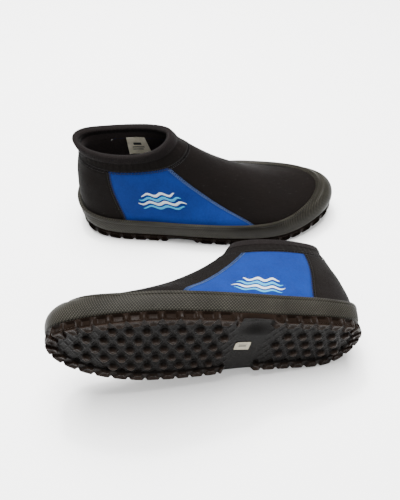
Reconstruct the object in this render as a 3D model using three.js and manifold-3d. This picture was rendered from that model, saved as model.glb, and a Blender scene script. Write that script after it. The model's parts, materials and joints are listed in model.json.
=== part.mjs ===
// A pair of slip-on neoprene water boots: the left one stands, the right one lies on its outer side.
// Each boot is designed in its own straight frame, in millimetres: +X from heel to toe, +Y to the
// inner (medial) side of the foot, +Z up from the floor. A last-shaped bend is then put on every point.
import * as THREE from 'three';
import { mergeVertices } from 'three/addons/utils/BufferGeometryUtils.js';
import Module from 'manifold-3d';

const wasm = await Module();
wasm.setup();

// ---------------------------------------------------------------- driving dimensions
const LENGTH = 250; // heel to toe of the upper
const WIDTH = 1; // girth factor of the whole boot
const COLLAR_HEIGHT = 95; // back of the topline above the floor

const NEOPRENE = 4; // wall of every upper panel
const GAP = 0.3; // clearance between glued or stitched neighbours
const LUG_HEIGHT = 3;
const SOLE_THICKNESS = 5.5; // slab above the lugs
const BOARD_THICKNESS = 1.8;
const INSOLE_THICKNESS = 4;
const RAND_THICKNESS = 2.2;
const CEMENT = 0.7; // glue line between the rand and the upper
const RAND_TOP = 26; // height of the rubber rand on the boot's side
const RAND_TOE_TOP = 31;
const SOLE_LEDGE = 3.6; // how far the outsole stands out past the upper's feather line
const TAPE_THICKNESS = 0.6; // stitched seam covers
const STITCH_GAP = 0.5; // clearance under the covers, which cross two panels
const SEAM_WIDTH = 3;
const BINDING_THICKNESS = 1;
const PRINT_THICKNESS = 0.4;
const PRINT_GAP = 0.6; // clearance under the prints, which span the panel's hollow
const LABEL_THICKNESS = 0.5;
const LUG_PITCH = 12.5;
const LUG_RADIUS = 4.6;
const LUG_TAPER = 0.78;

const TOE_SPRING = 11; // lift of the toe tip off the floor
const TOE_SPRING_START = 175;
const HEEL_SPRING = 5; // lift of the back of the heel
const HEEL_SPRING_END = 36;
const SHAFT_LEAN = 3.5; // how far the collar leans outwards
const LEAN_START = 30;
const FLEX_X = 176; // ball of the foot, where the sole bends
const FLEX_HALF_WEDGE = THREE.MathUtils.degToRad(18); // room each side of the bend line

// ---------------------------------------------------------------- last shape
// Half cage of the upper's outer face, [x, half width, z]: rows from the topline down to the feather
// line, stations from the middle of the heel round one side to the tip of the toe.
const FEATHER_Z = LUG_HEIGHT + SOLE_THICKNESS + GAP;
const CAGE = [
  [[11, 0, 95], [17, 16, 94], [42, 22.5, 92], [71, 22, 93.5], [86, 15, 97], [93, 7, 100.5], [94, 0, 101]],
  [[7, 0, 82], [14, 19, 81], [41, 26, 80], [74, 25.5, 81], [94, 19, 81.5], [104, 9, 87], [106, 0, 88.5]],
  [[2, 0, 60], [9, 22.5, 59], [40, 28.5, 58], [80, 29, 60], [114, 26, 59], [133, 14, 65], [138, 0, 66.5]],
  [[0, 0, 37], [7, 24, 37], [39, 29.5, 37], [86, 31, 39], [140, 36, 35], [175, 23.5, 41], [184, 0, 42.5]],
  [[1, 0, 20], [8, 27, 20], [38, 33.5, 20], [90, 36.5, 22], [165, 48.5, 28], [219, 31.5, 29], [238, 0, 36]],
  [[2, 0, 13], [9, 26, 13], [38, 32, 13], [91, 34, 14], [170, 48, 15], [232, 30.5, 17], [252, 0, 21]],
  [[4, 0, FEATHER_Z], [11, 24, FEATHER_Z], [38, 30, FEATHER_Z], [92, 31.5, FEATHER_Z], [171, 45.5, FEATHER_Z],
    [230, 28, FEATHER_Z], [250, 0, FEATHER_Z]],
];
const STATIONS = 12; // round the whole boot: 0 heel, 6 toe, below 6 lateral, above 6 medial
const ROWS = CAGE.length - 1;
const TOP = 0;
const BAND = 1; // row of the seam under the collar band
const HEEL_SEAM = 2; // stations of the four upright seams, counted from the heel
const FRONT_SEAM = 4;
const DESIGN_LENGTH = 250;
const DESIGN_COLLAR = 95;

const bump = (t) => (Math.abs(t) < 1 ? (1 - t * t) ** 2 : 0);
const ease = (t) => THREE.MathUtils.smoothstep(t, 0, 1);

function cageAt(row, station) {
  const j = ((station % STATIONS) + STATIONS) % STATIONS;
  const half = j <= STATIONS / 2 ? j : STATIONS - j;
  const [x, w, z] = CAGE[row][half];
  const side = j <= STATIONS / 2 ? -1 : 1;
  const lift = Math.max(0, z - FEATHER_Z) * (COLLAR_HEIGHT - FEATHER_Z) / (DESIGN_COLLAR - FEATHER_Z);
  return new THREE.Vector3(x * LENGTH / DESIGN_LENGTH, side * w * WIDTH, FEATHER_Z + lift);
}

function cageRow(row, station) {
  if (row < 0) return cageAt(0, station).multiplyScalar(2).sub(cageAt(1, station));
  if (row > ROWS) return cageAt(ROWS, station).multiplyScalar(2).sub(cageAt(ROWS - 1, station));
  return cageAt(row, station);
}

const splineWeights = (t) => [
  (1 - t) ** 3 / 6, (3 * t ** 3 - 6 * t ** 2 + 4) / 6, (-3 * t ** 3 + 3 * t ** 2 + 3 * t + 1) / 6, t ** 3 / 6,
];

// The upper's outer face at station u (0 to 12) and row v (0 topline to 6 feather line).
function face(u, v) {
  const j = Math.floor(u);
  const i = Math.min(Math.floor(v), ROWS - 1);
  const wu = splineWeights(u - j);
  const wv = splineWeights(v - i);
  const point = new THREE.Vector3();
  for (let a = 0; a < 4; a++) {
    for (let b = 0; b < 4; b++) point.addScaledVector(cageRow(i - 1 + b, j - 1 + a), wu[a] * wv[b]);
  }
  return point;
}

function faceNormal(u, v) {
  const step = 0.01;
  const lower = Math.min(v + step, ROWS);
  const upper = Math.max(v - step, 0);
  const along = face(u + step, v).sub(face(u - step, v));
  const down = face(u, lower).sub(face(u, upper));
  return down.cross(along).normalize();
}

// A point at a height off the outer face: positive is outside the boot.
const offFace = (u, v, height) => face(u, v).addScaledVector(faceNormal(u, v), height);

// Row v at which station u's outer face is at height z.
function rowAtHeight(u, z) {
  let high = BAND;
  let low = ROWS;
  for (let n = 0; n < 24; n++) {
    const middle = (high + low) / 2;
    if (face(u, middle).z > z) high = middle;
    else low = middle;
  }
  return (high + low) / 2;
}

// The last's bend: inner ball forward, outer ball back, heel and toe outwards, shaft leaning
// outwards, toe and heel lifted.
function bend(p) {
  const x = p.x / LENGTH;
  const shear = 0.12 * bump((x - 0.68) / 0.3);
  const swing = -3.2 * bump((x - 0.02) / 0.42) - 2 * bump(x / 0.2) - 1.6 * ease((x - 0.7) / 0.3);
  const lean = -SHAFT_LEAN * ease((p.z - LEAN_START) / (COLLAR_HEIGHT - LEAN_START));
  const spring = TOE_SPRING * Math.max(0, (p.x - TOE_SPRING_START) / (LENGTH - TOE_SPRING_START)) ** 2;
  const heel = HEEL_SPRING * Math.max(0, 1 - p.x / HEEL_SPRING_END) ** 2;
  return new THREE.Vector3(p.x + shear * p.y, p.y + swing + lean, p.z + spring + heel);
}

// ---------------------------------------------------------------- solids
// A closed solid lofted through rings of equal length; the last ring joins the first in a loop, or
// the two ends are capped.
function loft(rings, loop = false) {
  const count = rings[0].length;
  const positions = rings.flat().map(bend).flatMap((p) => [p.x, p.y, p.z]);
  const index = [];
  const steps = loop ? rings.length : rings.length - 1;
  for (let k = 0; k < steps; k++) {
    const here = k * count;
    const next = ((k + 1) % rings.length) * count;
    for (let n = 0; n < count; n++) {
      const m = (n + 1) % count;
      index.push(here + n, next + n, next + m, here + n, next + m, here + m);
    }
  }
  if (!loop) {
    const last = (rings.length - 1) * count;
    // An even ring is capped by quads between its two long sides, so a thin curved wall stays true.
    for (let n = 0; n < count / 2 - 1; n++) {
      const [a, b, c, d] = [n, n + 1, count - 2 - n, count - 1 - n];
      index.push(a, b, c, a, c, d);
      index.push(last + a, last + c, last + b, last + a, last + d, last + c);
    }
  }
  return solid(positions, index);
}

function solid(positions, index) {
  const make = (triangles) => new wasm.Manifold(new wasm.Mesh({
    numProp: 3, vertProperties: new Float32Array(positions), triVerts: new Uint32Array(triangles),
  }));
  const made = make(index);
  return made.volume() > 0 ? made : make(index.map((_, n) => index[n - (n % 3) + [0, 2, 1][n % 3]]));
}

function fromGeometry(geometry) {
  geometry.deleteAttribute('normal');
  geometry.deleteAttribute('uv');
  const merged = mergeVertices(geometry.index ? geometry.toNonIndexed() : geometry, 1e-4);
  return solid([...merged.attributes.position.array], [...merged.index.array]);
}

function range(from, to, steps) {
  return Array.from({ length: steps + 1 }, (_, n) => from + (to - from) * n / steps);
}

// A patch of the upper between two heights off its face. Each station is a function of the row, so
// that the patch can have slanted side edges.
function patch(stations, rows, inner, outer) {
  return loft(stations.map((s) => {
    const line = rows.map((r) => [s(r), r]);
    return [
      ...line.map(([u, v]) => offFace(u, v, outer)),
      ...line.reverse().map(([u, v]) => offFace(u, v, inner)),
    ];
  }));
}

// A patch whose side edges are the functions of row left(v) and right(v).
function panel({ left, right, rows, across, inner = -NEOPRENE, outer = 0 }) {
  const stations = range(0, 1, across).map((t) => (v) => left(v) + (right(v) - left(v)) * t);
  return patch(stations, rows, inner, outer);
}

// A closed ring round the boot; section(u) gives its cross-section, all in order.
const ring = (stations, section) => loft(range(0, STATIONS, stations).slice(0, -1).map(section), true);

// How many stations, and how many rows, one millimetre along the face is worth.
function stationsPerMm(u, v) {
  return 0.02 / face(u - 0.01, v).distanceTo(face(u + 0.01, v));
}
function rowsPerMm(u, v) {
  const upper = Math.max(v - 0.01, 0);
  return (v + 0.01 - upper) / face(u, upper).distanceTo(face(u, v + 0.01));
}

// ---------------------------------------------------------------- seams of the upper
// The side panel's front edge starts under the collar and runs forward to its tip at the rand.
const frontSeam = (v) => {
  const s = Math.min(1, (v - BAND) / 3);
  return FRONT_SEAM - 0.28 + 0.21 * s + 0.13 * Math.sin(Math.PI * s);
};
const heelSeam = (v) => HEEL_SEAM - 0.18 + 0.3 * ease((v - BAND) / 3);
const mirrored = (edge) => (v) => STATIONS - edge(v);
const shifted = (edge, mm) => (v) => edge(v) + mm * stationsPerMm(edge(v), v);

const bandRow = (u, mm) => BAND + mm * rowsPerMm(u, BAND);
const upperRows = range(BAND, ROWS, 9);
const collarGap = GAP / 2;
const panelTop = BAND + collarGap * rowsPerMm(3, BAND);
const panelRows = [panelTop, ...upperRows.slice(1)];

const vampPanel = () => panel({
  left: shifted(frontSeam, GAP / 2),
  right: shifted(mirrored(frontSeam), -GAP / 2),
  rows: panelRows,
  across: 13,
});
const heelPanel = () => panel({
  left: (v) => shifted(mirrored(heelSeam), GAP / 2)(v) - STATIONS,
  right: shifted(heelSeam, -GAP / 2),
  rows: panelRows,
  across: 8,
});
const sidePanelLateral = () => panel({
  left: shifted(heelSeam, GAP / 2),
  right: shifted(frontSeam, -GAP / 2),
  rows: panelRows,
  across: 5,
});
const sidePanelMedial = () => panel({
  left: shifted(mirrored(frontSeam), GAP / 2),
  right: shifted(mirrored(heelSeam), -GAP / 2),
  rows: panelRows,
  across: 5,
});

// ---------------------------------------------------------------- collar
const COLLAR_STATIONS = 26;
function collarBand() {
  return ring(COLLAR_STATIONS, (u) => {
    const rows = [TOP, BAND / 2, bandRow(u, -collarGap)];
    return [
      ...rows.map((v) => offFace(u, v, 0)),
      ...rows.reverse().map((v) => offFace(u, v, -NEOPRENE)),
    ];
  });
}

// Folded tape over the topline: down the outside, over the edge and down the inside.
const BINDING_DEPTH = 0.42; // in rows
function collarBinding() {
  return ring(COLLAR_STATIONS, (u) => {
    const up = face(u, TOP).sub(face(u, 0.05)).normalize();
    const at = (v, height, rise) => offFace(u, v, height).addScaledVector(up, rise);
    const near = GAP;
    const far = GAP + BINDING_THICKNESS;
    return [
      at(BINDING_DEPTH, far, 0), at(TOP, far, far * 0.6), at(TOP, 0, far), at(TOP, -NEOPRENE, far),
      at(TOP, -NEOPRENE - far, far * 0.6), at(BINDING_DEPTH, -NEOPRENE - far, 0),
      at(BINDING_DEPTH, -NEOPRENE - near, 0), at(TOP, -NEOPRENE - near, near), at(TOP, near, near),
      at(BINDING_DEPTH, near, 0),
    ];
  });
}

// ---------------------------------------------------------------- stitched seam covers
const coverInner = STITCH_GAP;
const coverOuter = STITCH_GAP + TAPE_THICKNESS;
const randRow = (u) => rowAtHeight(u, randTop(u));
const COVER_END_GAP = 2; // clearance from the cover's lower end to the rand
const coverEnd = (edge) => {
  const nearRand = edge(4);
  return randRow(nearRand) - COVER_END_GAP * rowsPerMm(nearRand, 4);
};

function seamCover(edge) {
  const start = bandRow(edge(BAND), SEAM_WIDTH / 2 + GAP);
  return panel({
    left: shifted(edge, -SEAM_WIDTH / 2),
    right: shifted(edge, SEAM_WIDTH / 2),
    rows: range(start, coverEnd(edge), 9),
    across: 1,
    inner: coverInner,
    outer: coverOuter,
  });
}

function collarSeamCover() {
  return ring(COLLAR_STATIONS, (u) => {
    const rows = [bandRow(u, -SEAM_WIDTH / 2), bandRow(u, SEAM_WIDTH / 2)];
    return [
      ...rows.map((v) => offFace(u, v, coverOuter)),
      ...rows.reverse().map((v) => offFace(u, v, coverInner)),
    ];
  });
}

// ---------------------------------------------------------------- rand
// The rand's top edge is level on the sides and rises over the toe.
function randTop(u) {
  const fromToe = Math.abs(u - STATIONS / 2);
  return RAND_TOP + (RAND_TOE_TOP - RAND_TOP) * ease(1 - fromToe / 1.8);
}

// The upper part of the rand is cut into rows short enough to stay clear of the upper's faces.
const RAND_ROW_STEP = 0.68;
function rand() {
  const highest = Math.min(...range(0, STATIONS, 44).map(randRow));
  const steps = Math.ceil((upperRows[7] - highest) / RAND_ROW_STEP);
  return ring(44, (u) => {
    const rows = [...range(randRow(u), upperRows[7], steps), ...upperRows.slice(8)];
    const near = CEMENT;
    const far = CEMENT + RAND_THICKNESS;
    const outer = rows.map((v, n) => offFace(u, v, n === 0 ? far * 0.75 : far));
    const inner = rows.map((v) => offFace(u, v, near));
    for (const line of [outer, inner]) line[line.length - 1].z = FEATHER_Z;
    return [...outer, ...inner.reverse()];
  });
}

// ---------------------------------------------------------------- sole
// A point of the feather line at station u, moved outwards in plan.
function feather(u, out) {
  const point = face(u, ROWS);
  const tangent = face(u + 0.01, ROWS).sub(face(u - 0.01, ROWS));
  const outward = new THREE.Vector3(-tangent.y, tangent.x, 0).normalize();
  if (outward.y > 0 || (Math.abs(point.y) < 1 && outward.x * (point.x - LENGTH / 2) < 0)) outward.negate();
  return point.addScaledVector(outward, out);
}

// A flat piece that follows the feather line; levels are [outward offset, z] from its bottom to its top.
const PLATE_STATIONS = range(0.12, 5.88, 26);
function plate(levels) {
  return loft(PLATE_STATIONS.map((u) => {
    const lateral = levels.map(([out, z]) => feather(u, out).setZ(z));
    const medial = levels.map(([out, z]) => {
      const p = feather(u, out);
      return new THREE.Vector3(p.x, -p.y, z);
    });
    return [...lateral, ...medial.reverse()];
  }));
}

const outsoleSlab = () => plate([
  [SOLE_LEDGE - 2.2, LUG_HEIGHT],
  [SOLE_LEDGE, LUG_HEIGHT + SOLE_THICKNESS * 0.45],
  [SOLE_LEDGE - 0.4, LUG_HEIGHT + SOLE_THICKNESS],
]);
const BOARD_Z = FEATHER_Z;
const INSOLE_Z = BOARD_Z + BOARD_THICKNESS + GAP;
const FOOTBED_CLEARANCE = 1.2; // from the upper's inner face to the board's edge
const footbed = -NEOPRENE - FOOTBED_CLEARANCE;
const boardPlate = () => plate([[footbed, BOARD_Z], [footbed, BOARD_Z + BOARD_THICKNESS]]);
const insolePlate = () => plate([[footbed - 1, INSOLE_Z], [footbed, INSOLE_Z + INSOLE_THICKNESS]]);

// A stud that stands down from the slab, as a tapered square block with its corners fore and aft.
const STUD_ROOT = 0.8; // how far it is rooted in the slab
function stud(x, y, radius = LUG_RADIUS) {
  const geometry = new THREE.CylinderGeometry(radius, radius * LUG_TAPER, LUG_HEIGHT + STUD_ROOT, 4, 1);
  geometry.rotateX(Math.PI / 2);
  const at = bend(new THREE.Vector3(x, y, (LUG_HEIGHT + STUD_ROOT) / 2));
  geometry.translate(at.x, at.y, at.z);
  return fromGeometry(geometry);
}

// Where studs may stand: inside the sole's edge, and clear of the waist.
const WAIST = [84, 112];
const HALF_WIDTHS = range(0, 6, 120).map((u) => feather(u, SOLE_LEDGE));
function soleHalfWidth(x) {
  const n = HALF_WIDTHS.findIndex((p) => p.x > x);
  if (n < 1) return 0;
  const [a, b] = [HALF_WIDTHS[n - 1], HALF_WIDTHS[n]];
  return THREE.MathUtils.lerp(-a.y, -b.y, (x - a.x) / (b.x - a.x));
}

function studPlaces() {
  const places = [];
  const inWaist = (x) => x > WAIST[0] && x < WAIST[1];
  for (let row = -3; row <= 3; row++) {
    for (let column = 0; column * LUG_PITCH < LENGTH; column++) {
      const x = (column + (row % 2 ? 0.5 : 0)) * LUG_PITCH;
      const y = row * LUG_PITCH;
      const reach = Math.min(soleHalfWidth(x - LUG_RADIUS), soleHalfWidth(x + LUG_RADIUS));
      if (!inWaist(x) && Math.abs(y) + LUG_RADIUS < reach) places.push([x, y]);
    }
  }
  return places;
}

function outsole() {
  return wasm.Manifold.union([outsoleSlab(), ...studPlaces().map(([x, y]) => stud(x, y))]);
}

// ---------------------------------------------------------------- prints, label and sticker
const EMBLEM = { from: 2.58, to: 3.3, aboveRand: 4, height: 22 }; // stations, then mm
function emblem(medial) {
  const edge = (u) => () => (medial ? STATIONS - u : u);
  const bottom = rowAtHeight(EMBLEM.to, RAND_TOP + EMBLEM.aboveRand);
  const top = rowAtHeight(EMBLEM.to, RAND_TOP + EMBLEM.aboveRand + EMBLEM.height);
  return panel({
    left: medial ? edge(EMBLEM.to) : edge(EMBLEM.from),
    right: medial ? edge(EMBLEM.from) : edge(EMBLEM.to),
    rows: range(top, bottom, 5),
    across: 5,
    inner: PRINT_GAP,
    outer: PRINT_GAP + PRINT_THICKNESS,
  });
}

const LABEL = { from: 2.28, to: 2.86, top: 0.9, bottom: 2 };
function sizeLabel() {
  return panel({
    left: () => LABEL.from,
    right: () => LABEL.to,
    rows: range(LABEL.top, LABEL.bottom, 3),
    across: 3,
    inner: -NEOPRENE - GAP - LABEL_THICKNESS,
    outer: -NEOPRENE - GAP,
  });
}

const STICKER = { x: 102, y: 0, long: 12, wide: 11 };
function soleSticker() {
  const { x, y, long, wide } = STICKER;
  const top = LUG_HEIGHT - GAP;
  const corners = [[-1, -1], [-1, 1], [1, 1], [1, -1]];
  return loft([top - LABEL_THICKNESS, top].map((z) => corners.map(
    ([a, b]) => new THREE.Vector3(x + a * long / 2, y + b * wide / 2, z),
  )));
}

// ---------------------------------------------------------------- the bend across the ball
// Side-view regions in front of, behind and inside the wedge that the toe part turns through.
const FLEX_Z = BOARD_Z + BOARD_THICKNESS + GAP / 2;
const REACH = 320;
function region(outline) {
  const shape = new THREE.Shape(outline.map(([x, z]) => new THREE.Vector2(x, z)));
  const geometry = new THREE.ExtrudeGeometry(shape, { depth: REACH, bevelEnabled: false });
  geometry.rotateX(Math.PI / 2);
  geometry.translate(0, REACH / 2, 0);
  return fromGeometry(geometry);
}
const slope = Math.tan(FLEX_HALF_WEDGE) * REACH;
const split = GAP / 2;
const inFront = region([
  [FLEX_X + split, -REACH], [FLEX_X + split, FLEX_Z], [FLEX_X + split + slope, FLEX_Z + REACH],
  [FLEX_X + REACH, FLEX_Z + REACH], [FLEX_X + REACH, -REACH],
]);
const behind = region([
  [FLEX_X - split, -REACH], [FLEX_X - split, FLEX_Z], [FLEX_X - split - slope, FLEX_Z + REACH],
  [FLEX_X - REACH, FLEX_Z + REACH], [FLEX_X - REACH, -REACH],
]);
const inWedge = region([
  [FLEX_X, FLEX_Z + GAP], [FLEX_X + slope, FLEX_Z + GAP + REACH], [FLEX_X - slope, FLEX_Z + GAP + REACH],
]);

// ---------------------------------------------------------------- materials
const material = (color, roughness) => new THREE.MeshStandardMaterial({ color, roughness, metalness: 0 });
const NEOPRENE_BLACK = material(0x1b1a19, 0.85);
const NEOPRENE_BLUE = material(0x1f4fae, 0.8);
const RUBBER_SOLE = material(0x241f1d, 0.6);
const RUBBER_RAND = material(0x3a3833, 0.65);
const KNIT_BINDING = material(0x211d1f, 0.9);
const THREAD_BLACK = material(0x26242a, 0.8);
const THREAD_BLUE = material(0x2b4f93, 0.8);
const BOARD = material(0x57524a, 0.95);
const FOAM = material(0x1d1d1f, 0.9);
const PRINT = material(0xd9eef5, 0.5);
const WOVEN = material(0xd8d2bf, 0.9);
const PAPER = material(0xd6cfb5, 0.7);

// ---------------------------------------------------------------- one boot
function meshOf(made, name, look) {
  const { vertProperties, triVerts } = made.getMesh();
  const geometry = new THREE.BufferGeometry();
  geometry.setAttribute('position', new THREE.BufferAttribute(new Float32Array(vertProperties), 3));
  geometry.setIndex(new THREE.BufferAttribute(new Uint32Array(triVerts), 1));
  const mesh = new THREE.Mesh(geometry, look);
  mesh.name = name;
  return mesh;
}

function boot(side) {
  const group = new THREE.Group();
  const add = (name, made, look) => group.add(meshOf(made, `${side}_${name}`, look));
  const addSplit = (name, made, look) => {
    add(`${name}_rear`, made.intersect(behind), look);
    add(`${name}_toe`, made.intersect(inFront), look);
  };

  addSplit('outsole', outsole(), RUBBER_SOLE);
  addSplit('rand', rand(), RUBBER_RAND);
  addSplit('lasting_board', boardPlate(), BOARD);
  addSplit('insole', insolePlate(), FOAM);

  const vamp = vampPanel();
  add('vamp_instep', vamp.intersect(behind), NEOPRENE_BLACK);
  add('vamp_crease', vamp.intersect(inWedge), NEOPRENE_BLACK);
  add('vamp_toe', vamp.intersect(inFront), NEOPRENE_BLACK);

  add('side_panel_medial', sidePanelMedial(), NEOPRENE_BLUE);
  add('side_panel_lateral', sidePanelLateral(), NEOPRENE_BLUE);
  add('heel_panel', heelPanel(), NEOPRENE_BLACK);
  add('collar_band', collarBand(), NEOPRENE_BLACK);
  add('collar_binding', collarBinding(), KNIT_BINDING);

  add('front_seam_medial', seamCover(mirrored(frontSeam)), THREAD_BLUE);
  add('front_seam_lateral', seamCover(frontSeam), THREAD_BLUE);
  add('heel_seam_medial', seamCover(mirrored(heelSeam)), THREAD_BLACK);
  add('heel_seam_lateral', seamCover(heelSeam), THREAD_BLACK);
  add('collar_seam', collarSeamCover(), THREAD_BLACK);

  add('emblem_medial', emblem(true), PRINT);
  add('emblem_lateral', emblem(false), PRINT);
  add('size_label', sizeLabel(), WOVEN);
  add('sole_sticker', soleSticker(), PAPER);
  return group;
}

// ---------------------------------------------------------------- the pair
const LEFT_YAW = 2.7;
const RIGHT = { x: 5.3, y: -186.6, roll: 90, pitch: 11.3, yaw: 8.9 };
const degrees = THREE.MathUtils.degToRad;

function leftBoot() {
  const inner = boot('left');
  inner.position.x = -LENGTH / 2;
  const mirror = new THREE.Group().add(inner);
  mirror.scale.y = -1;
  const placed = new THREE.Group().add(mirror);
  placed.rotation.z = degrees(LEFT_YAW);
  return placed;
}

// The right boot points the other way, rolled onto its lateral side.
function rightBoot() {
  const inner = boot('right');
  inner.position.x = -LENGTH / 2;
  const turned = new THREE.Group().add(inner);
  turned.rotation.z = Math.PI;
  const rolled = new THREE.Group().add(turned);
  rolled.rotation.x = -degrees(RIGHT.roll);
  const pitched = new THREE.Group().add(rolled);
  pitched.rotation.y = degrees(RIGHT.pitch);
  const placed = new THREE.Group().add(pitched);
  placed.rotation.z = degrees(RIGHT.yaw);
  placed.position.set(RIGHT.x, RIGHT.y, 0);
  placed.updateMatrixWorld(true);
  placed.position.z = -new THREE.Box3().setFromObject(placed, true).min.z;
  return placed;
}

const pair = new THREE.Group().add(leftBoot(), rightBoot());
pair.updateMatrixWorld(true);
const extent = new THREE.Box3().setFromObject(pair, true);
const middle = extent.getCenter(new THREE.Vector3());
pair.position.set(-middle.x, -middle.y, -extent.min.z);

export default pair;
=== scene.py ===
"""A pair of slip-on neoprene water boots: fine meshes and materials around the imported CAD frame.

Each boot is shaped in its own straight frame in millimetres, as in the CAD: +X heel to toe, +Y to the
inner (medial) side, +Z up. bend() gives it the last's shape and place() puts it in the row frame.
"""
import json
import math

import bmesh
import bpy
import numpy as np
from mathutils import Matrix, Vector


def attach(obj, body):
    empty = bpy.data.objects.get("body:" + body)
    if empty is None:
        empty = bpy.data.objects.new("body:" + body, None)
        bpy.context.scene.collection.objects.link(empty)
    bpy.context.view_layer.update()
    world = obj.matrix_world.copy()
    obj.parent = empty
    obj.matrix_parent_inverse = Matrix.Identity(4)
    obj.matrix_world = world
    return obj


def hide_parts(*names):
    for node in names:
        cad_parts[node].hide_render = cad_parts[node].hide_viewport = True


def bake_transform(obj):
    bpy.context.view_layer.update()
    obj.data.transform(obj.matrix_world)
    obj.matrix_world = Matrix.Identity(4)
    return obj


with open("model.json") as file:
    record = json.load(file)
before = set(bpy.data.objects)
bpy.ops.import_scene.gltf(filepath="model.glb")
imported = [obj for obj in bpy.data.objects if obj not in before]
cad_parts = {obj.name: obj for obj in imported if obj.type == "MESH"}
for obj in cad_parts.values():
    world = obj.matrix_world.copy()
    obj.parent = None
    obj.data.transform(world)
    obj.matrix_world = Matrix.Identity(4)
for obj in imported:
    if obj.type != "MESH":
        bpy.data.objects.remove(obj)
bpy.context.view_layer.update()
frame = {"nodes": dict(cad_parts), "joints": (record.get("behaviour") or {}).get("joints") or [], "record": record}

MM = 0.001
SIDES = ("left", "right")

# ---------------------------------------------------------------- driving dimensions, as in the CAD
LENGTH = 250.0
NEOPRENE = 4.0
LUG_HEIGHT = 3.0
SOLE_THICKNESS = 5.5
GAP = 0.3
BOARD_THICKNESS = 1.8
INSOLE_THICKNESS = 4.0
CEMENT = 0.7
RAND_THICKNESS = 2.2
RAND_TOP = 26.0
RAND_TOE_TOP = 31.0
SOLE_LEDGE = 3.6
BINDING_DEPTH = 0.42  # rows
LUG_PITCH = 12.5
WAIST = (84.0, 112.0)
TOE_SPRING = 11.0
TOE_SPRING_START = 175.0
HEEL_SPRING = 5.0
HEEL_SPRING_END = 36.0
COLLAR_HEIGHT = 95.0
SHAFT_LEAN = 3.5
LEAN_START = 30.0
FLEX_X = 176.0
FEATHER_Z = LUG_HEIGHT + SOLE_THICKNESS + GAP
FLEX_Z = FEATHER_Z + BOARD_THICKNESS + GAP / 2
INSOLE_Z = FEATHER_Z + BOARD_THICKNESS + GAP
FLEX_REACH = 35.0  # how far each side of the ball the flex reaches; join_body() works out the two ends but bends nothing with them

# Half cage of the upper's outer face, as in the CAD: rows from topline to feather line, stations from
# heel to toe, each (x, half width, z).
F = FEATHER_Z
CAGE = np.array([
    [(11, 0, 95), (17, 16, 94), (42, 22.5, 92), (71, 22, 93.5), (86, 15, 97), (93, 7, 100.5), (94, 0, 101)],
    [(7, 0, 82), (14, 19, 81), (41, 26, 80), (74, 25.5, 81), (94, 19, 81.5), (104, 9, 87), (106, 0, 88.5)],
    [(2, 0, 60), (9, 22.5, 59), (40, 28.5, 58), (80, 29, 60), (114, 26, 59), (133, 14, 65), (138, 0, 66.5)],
    [(0, 0, 37), (7, 24, 37), (39, 29.5, 37), (86, 31, 39), (140, 36, 35), (175, 23.5, 41), (184, 0, 42.5)],
    [(1, 0, 20), (8, 27, 20), (38, 33.5, 20), (90, 36.5, 22), (165, 48.5, 28), (219, 31.5, 29), (238, 0, 36)],
    [(2, 0, 13), (9, 26, 13), (38, 32, 13), (91, 34, 14), (170, 48, 15), (232, 30.5, 17), (252, 0, 21)],
    [(4, 0, F), (11, 24, F), (38, 30, F), (92, 31.5, F), (171, 45.5, F), (230, 28, F), (250, 0, F)],
], float)
ROWS = 6
STATIONS = 12
TOE = 6.0
BAND = 1.0
HEEL_SEAM = 2.0
FRONT_SEAM = 4.0
BAND_GAP = 0.004  # rows between the collar band and the panels below it
SLAB_TOP = LUG_HEIGHT + SOLE_THICKNESS

# ---------------------------------------------------------------- how the two boots differ
SEAM_CUT = {"left": 0.11, "right": -0.13}  # stations that the front seam's lower end is off its line
RAND_LAID = {"left": 1.0, "right": -2.8}  # how far the rand's upper edge is above its line
COLLAR_SPREAD = {"left": 6.5, "right": 1.0}  # how far the back of the collar is pulled open
EMBLEM_STATION = {"left": 2.97, "right": 3.02}
EMBLEM_HEIGHT = {"left": 49.5, "right": 36.5}
SIDE_SEED = {"left": 0.0, "right": 0.6}  # gives each boot its own unevenness


# ---------------------------------------------------------------- the last's surface
def bump(t):
    return np.where(np.abs(t) < 1, (1 - t * t) ** 2, 0.0)


def ease(t):
    t = np.clip(t, 0, 1)
    return t * t * (3 - 2 * t)


def unit(a):
    a = np.asarray(a, float)
    return a / np.maximum(np.linalg.norm(a, axis=-1, keepdims=True), 1e-12)


def full_cage():
    lateral = CAGE * (1, -1, 1)
    around = np.concatenate([lateral, CAGE[:, 5:0:-1]], axis=1)
    first = 2 * around[:1] - around[1:2]
    last = 2 * around[-1:] - around[-2:-1]
    return np.concatenate([first, around, last])


ALL_ROWS = full_cage()


def spline_weights(t):
    return ((1 - t) ** 3 / 6, (3 * t ** 3 - 6 * t ** 2 + 4) / 6,
            (-3 * t ** 3 + 3 * t ** 2 + 3 * t + 1) / 6, t ** 3 / 6)


def face(u, v):
    """The upper's outer face at station u (0 heel, 6 toe, below 6 lateral) and row v."""
    u, v = np.broadcast_arrays(np.asarray(u, float), np.asarray(v, float))
    j = np.floor(u).astype(int)
    i = np.clip(np.floor(v), 0, ROWS - 1).astype(int)
    wu, wv = spline_weights(u - j), spline_weights(v - i)
    point = 0.0
    for a in range(4):
        for b in range(4):
            point = point + ALL_ROWS[i + b, (j - 1 + a) % STATIONS] * (wu[a] * wv[b])[..., None]
    return point


def face_normal(u, v):
    step = 0.01
    v = np.asarray(v, float)
    along = face(u + step, v) - face(u - step, v)
    down = face(u, np.minimum(v + step, ROWS)) - face(u, np.maximum(v - step, 0))
    return unit(np.cross(down, along))


def off_face(u, v, height):
    return face(u, v) + face_normal(u, v) * np.asarray(height, float)[..., None]


def stations_per_mm(u, v):
    return 0.02 / np.linalg.norm(face(u - 0.01, v) - face(u + 0.01, v), axis=-1)


def rows_per_mm(u, v):
    upper = np.maximum(v - 0.01, 0)
    return (v + 0.01 - upper) / np.linalg.norm(face(u, upper) - face(u, v + 0.01), axis=-1)


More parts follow.
